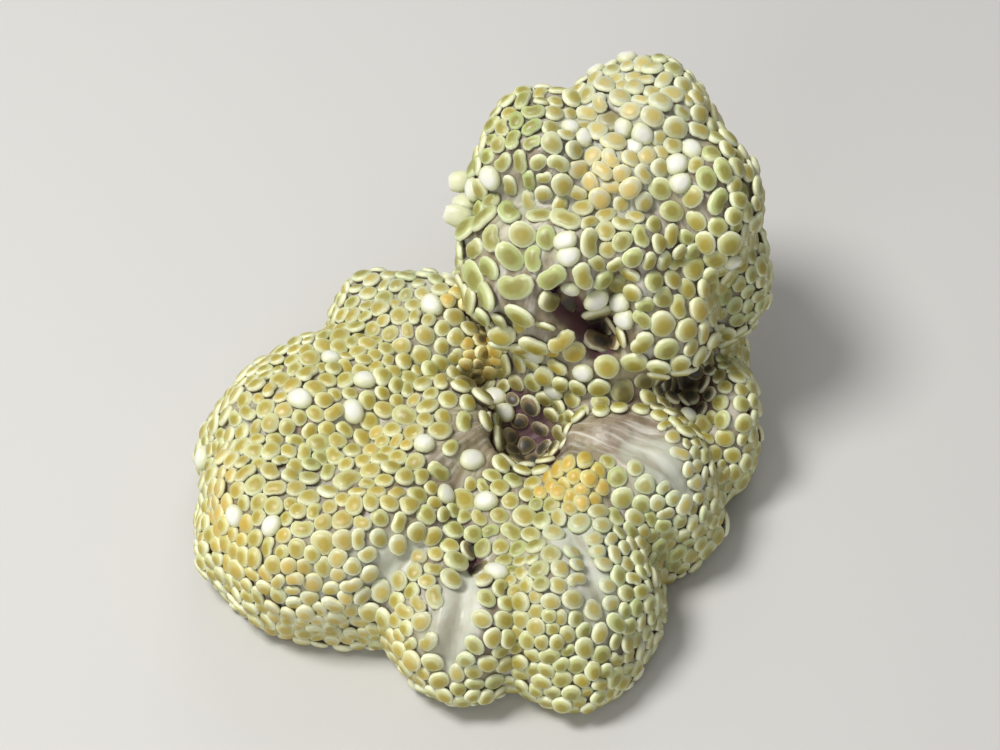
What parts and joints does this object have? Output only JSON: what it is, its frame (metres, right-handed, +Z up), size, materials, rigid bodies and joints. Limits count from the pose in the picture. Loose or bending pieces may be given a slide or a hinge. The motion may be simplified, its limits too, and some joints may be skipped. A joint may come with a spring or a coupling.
{
  "type": "berried sea anemone, contracted",
  "caption": "Contracted sea anemone, a broad folded lower column round a deep pit and a fist-shaped upper column, covered in low bead-like vesicles; a still, life-size model.",
  "frame": {"origin": "centre of the bounding box, on the floor under the foot", "axes": "+Z up; the upper column rises towards +Y and +X, at the back; the side facing -Y is the front, and +X is on its right"},
  "size_m": [0.0874, 0.0896, 0.0554],
  "materials": {
    "flesh": "soft, wet, translucent grey-lilac to milky skin with fine striations",
    "beads": "soft wet vesicles, pale translucent rims round olive to golden centres, some opaque white",
    "pit": "dark purple-brown skin of the deep folds, moist"
  },
  "bodies": {
    "root": {"pedal_disc": "flesh", "fold_left_front": "beads", "fold_right_front": "beads", "fold_front": "beads", "fold_front_right": "beads", "fold_left_inner": "beads", "fold_left_back": "beads", "fold_middle": "beads", "fold_back_left": "beads", "fold_right_inner": "beads", "fold_right_back": "beads", "fold_back": "beads", "fold_back_right": "beads", "upper_chin": "beads", "upper_cheek_left": "beads", "upper_brow": "beads", "upper_shoulder_left": "beads", "upper_top": "beads", "upper_cheek_right": "beads", "upper_middle": "beads", "upper_back": "beads", "upper_back_right": "beads", "waist": "pit", "column_core": "pit"}
  },
  "joints": []
}
